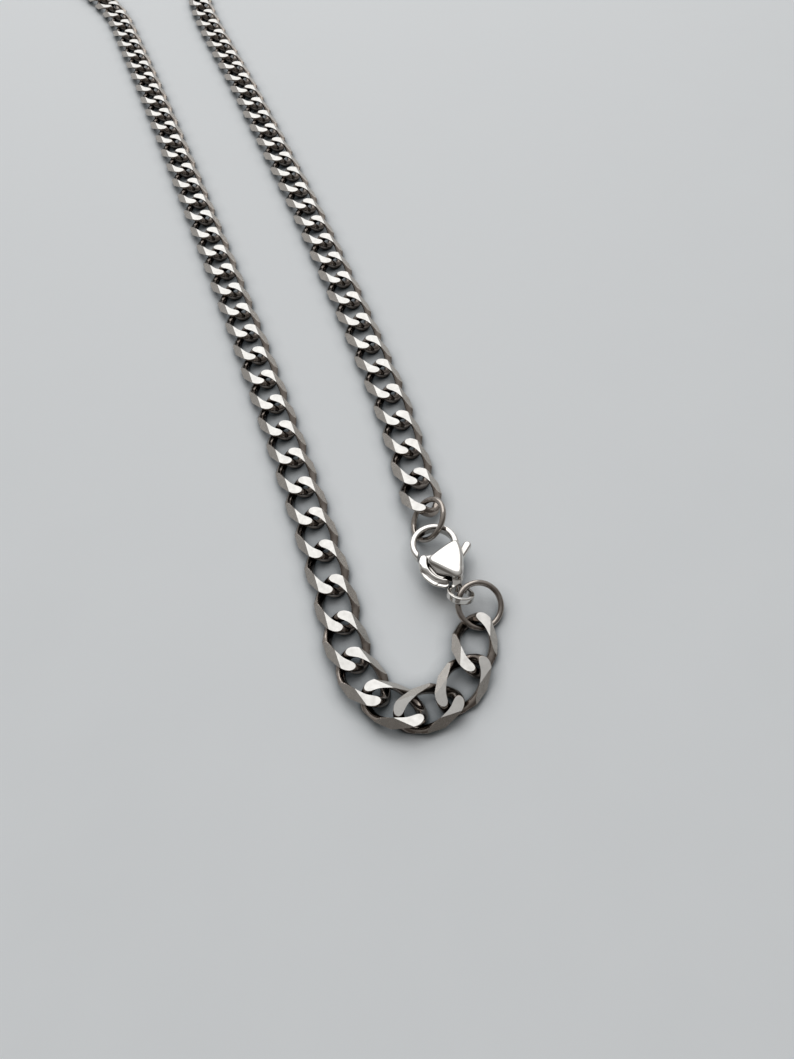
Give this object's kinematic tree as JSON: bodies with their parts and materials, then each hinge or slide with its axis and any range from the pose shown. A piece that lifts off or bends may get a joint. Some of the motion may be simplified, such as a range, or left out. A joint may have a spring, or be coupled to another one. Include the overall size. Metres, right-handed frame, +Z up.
{
  "type": "curb chain necklace",
  "caption": "Flat bevelled curb chain necklace lying as a closed loop, with jump rings and a lobster clasp at the front.",
  "frame": {"origin": "on the surface under the middle of the lying necklace's bounding box", "axes": "+Z up from the surface, +Y along the strands from the clasp's end to the back of the neck, +X to the right seen from above with the clasp nearest"},
  "size_m": [0.0532, 0.284, 0.0051],
  "materials": {
    "chain_steel": "polished links with ground flats and bevels",
    "ring_steel": "polished wire",
    "clasp_steel": "polished casting"
  },
  "bodies": {
    "necklace": {"chain_left": "chain_steel", "chain_right": "chain_steel", "eye_ring": "ring_steel", "hook_ring": "ring_steel", "clasp_body": "clasp_steel", "clasp_pin": "clasp_steel"},
    "lever": {"clasp_lever": "clasp_steel"}
  },
  "joints": [
    {"name": "lever_hinge", "type": "hinge", "parent": "necklace", "child": "lever", "pos_m": [0.00778, -0.12138, 0.00275], "axis": [0, 0.0384, 0.9993], "range_deg": [-18, 0], "stiffness_Nm_per_rad": 0.0002}
  ]
}
